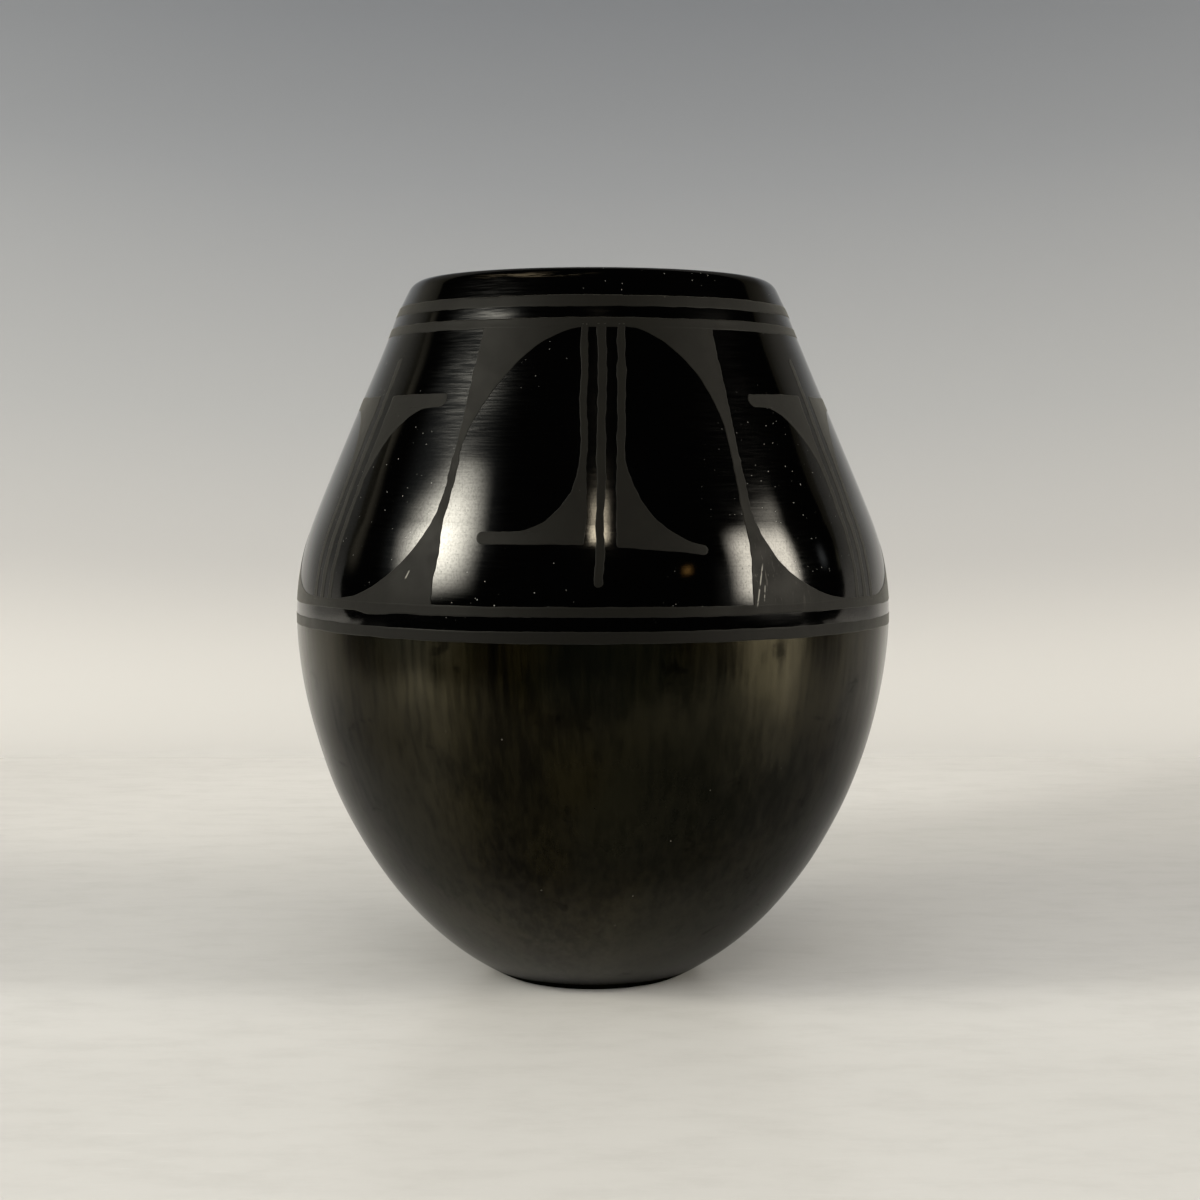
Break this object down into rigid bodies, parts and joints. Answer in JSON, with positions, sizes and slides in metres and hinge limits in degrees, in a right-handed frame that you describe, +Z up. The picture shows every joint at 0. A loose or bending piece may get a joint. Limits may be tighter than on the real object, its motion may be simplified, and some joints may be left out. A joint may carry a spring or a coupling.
{
  "type": "vase",
  "caption": "Round burnished blackware vase with a small flat foot, a neck that leans in and a rounded lip, ringed by a matt painted band of arches and flared stripes.",
  "frame": {"origin": "centre of the flat foot, on the surface that the vase stands on", "axes": "+Z up along the vase's axis, -Y towards the front panel, whose stripes hang from the neck, +X to the right of it as seen from the front"},
  "size_m": [0.153, 0.153, 0.178],
  "materials": {
    "burnished_upper": "stone-burnished, mirror polish",
    "burnished_lower": "stone-burnished, satin",
    "matt_slip": "brushed slip, matt"
  },
  "bodies": {
    "root": {"base": "burnished_lower", "lower_wall": "burnished_lower", "belly_wall": "burnished_lower", "shoulder_wall": "burnished_upper", "neck_wall": "burnished_upper", "rim": "burnished_upper", "neck_line_upper": "matt_slip", "neck_line_lower": "matt_slip", "waist_line_upper": "matt_slip", "waist_line_lower": "matt_slip", "divider_1": "matt_slip", "divider_2": "matt_slip", "divider_3": "matt_slip", "divider_4": "matt_slip", "divider_5": "matt_slip", "divider_6": "matt_slip", "flared_stripe_1_left": "matt_slip", "flared_stripe_1_right": "matt_slip", "flared_stripe_2_left": "matt_slip", "flared_stripe_2_right": "matt_slip", "flared_stripe_3_left": "matt_slip", "flared_stripe_3_right": "matt_slip", "flared_stripe_4_left": "matt_slip", "flared_stripe_4_right": "matt_slip", "flared_stripe_5_left": "matt_slip", "flared_stripe_5_right": "matt_slip", "flared_stripe_6_left": "matt_slip", "flared_stripe_6_right": "matt_slip", "centre_stripe_1": "matt_slip", "centre_stripe_2": "matt_slip", "centre_stripe_3": "matt_slip", "centre_stripe_4": "matt_slip", "centre_stripe_5": "matt_slip", "centre_stripe_6": "matt_slip"}
  },
  "joints": []
}
